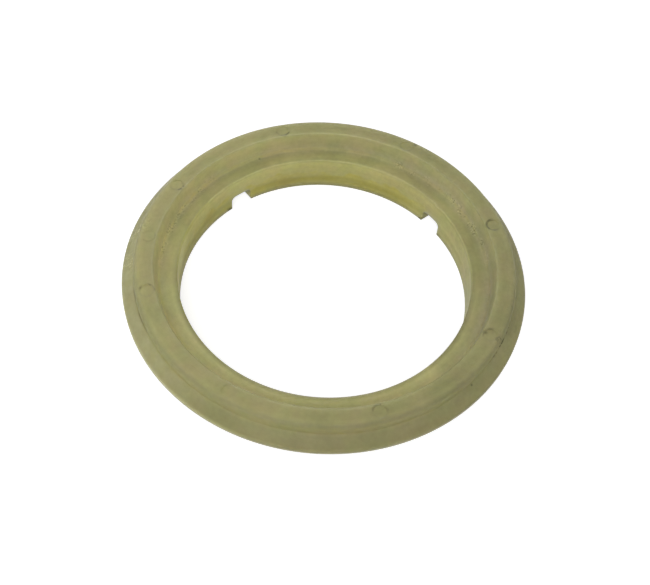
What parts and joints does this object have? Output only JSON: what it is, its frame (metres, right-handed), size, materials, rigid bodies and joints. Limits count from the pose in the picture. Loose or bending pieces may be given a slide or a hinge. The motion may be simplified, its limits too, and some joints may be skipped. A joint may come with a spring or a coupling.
{
  "type": "spacer ring",
  "caption": "One-piece moulded plastic spacer ring with a notched collar, a flange with a thin rim, and a raised land around a recessed seat with a tapered wall.",
  "frame": {"origin": "on the ring's axis, in the plane that the collar's foot stands on", "axes": "+Z along the ring's axis, from the collar towards the land; +X through the middle of one notch of the collar"},
  "size_m": [0.1, 0.1, 0.0148],
  "materials": {
    "natural_plastic": "unpainted translucent plastic, aged to an olive yellow, satin with fine scuffs"
  },
  "bodies": {
    "root": {"spacer_ring": "natural_plastic"}
  },
  "joints": []
}
